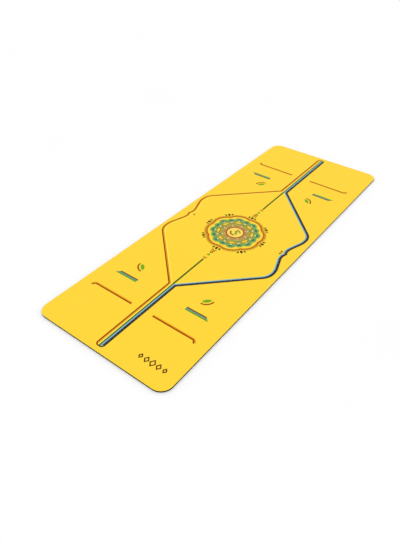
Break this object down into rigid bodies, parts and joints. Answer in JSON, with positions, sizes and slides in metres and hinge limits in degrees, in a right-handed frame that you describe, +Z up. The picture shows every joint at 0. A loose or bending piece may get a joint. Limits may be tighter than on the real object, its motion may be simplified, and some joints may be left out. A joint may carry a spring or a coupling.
{
  "type": "exercise mat",
  "caption": "Flat rectangular exercise mat with rounded corners, a foamed rubber base, a thin polyurethane top and printed alignment lines around a central rosette.",
  "frame": {"origin": "middle of the underside, on the floor", "axes": "+X across the mat to its right-hand long edge seen from the near end, +Y along the mat to its far end, +Z up out of the printed face"},
  "size_m": [0.65, 1.83, 0.0082],
  "materials": {
    "foam_rubber": "foamed, matte",
    "adhesive": "hot-melt film",
    "carrier_fabric": "non-woven polyester",
    "pu_skin": "matte polyurethane, fine grain",
    "ink_red": "screen-printed",
    "ink_orange": "screen-printed",
    "ink_yellow": "screen-printed",
    "ink_green": "screen-printed",
    "ink_sky": "screen-printed",
    "ink_navy": "screen-printed",
    "ink_violet": "screen-printed",
    "ink_brick": "screen-printed",
    "ink_copper": "screen-printed",
    "ink_plum": "screen-printed",
    "ink_grey": "screen-printed",
    "ink_meadow": "screen-printed",
    "ink_leaf": "screen-printed",
    "ink_brown": "screen-printed",
    "ink_leaf_blue": "screen-printed",
    "ink_olive": "screen-printed",
    "ink_gold": "screen-printed",
    "ink_moss": "screen-printed",
    "ink_cream": "screen-printed",
    "ink_rose": "screen-printed",
    "ink_apricot": "screen-printed",
    "ink_butter": "screen-printed",
    "ink_wine": "screen-printed",
    "ink_ochre": "screen-printed",
    "ink_maroon": "screen-printed"
  },
  "bodies": {
    "root": {"adhesive_film": "adhesive", "carrier_fabric": "carrier_fabric", "corner_mark": "ink_maroon", "cross_bar_edges": "ink_orange", "cross_bars": "ink_brick", "foam_base": "foam_rubber", "guide_bars_green": "ink_meadow", "guide_bars_grey": "ink_grey", "guide_bars_plum": "ink_plum", "leaf_arcs": "ink_brick", "leaf_marks": "ink_leaf", "line_green": "ink_green", "line_navy": "ink_navy", "line_orange": "ink_orange", "line_red": "ink_red", "line_sky": "ink_sky", "line_violet": "ink_violet", "line_yellow": "ink_yellow", "rosette_border": "ink_brown", "rosette_cream_dots": "ink_cream", "rosette_crescents": "ink_copper", "rosette_disc": "ink_butter", "rosette_field": "ink_olive", "rosette_fringe": "ink_brick", "rosette_gold_petals": "ink_gold", "rosette_leaves": "ink_leaf", "rosette_lobe_ring": "ink_copper", "rosette_olive_petals": "ink_moss", "rosette_pearls": "ink_cream", "rosette_petal_band": "ink_leaf_blue", "rosette_petal_cores": "ink_grey", "rosette_petal_rims": "ink_brown", "rosette_rose_dots": "ink_apricot", "rosette_rose_ring": "ink_rose", "sprig_middles": "ink_wine", "sprig_sides": "ink_green", "tail_caps": "ink_ochre", "tail_chevrons": "ink_brown", "tail_drops": "ink_leaf", "top_skin": "pu_skin", "waist_mark_left": "ink_brown", "waist_mark_right": "ink_brown"}
  },
  "joints": []
}
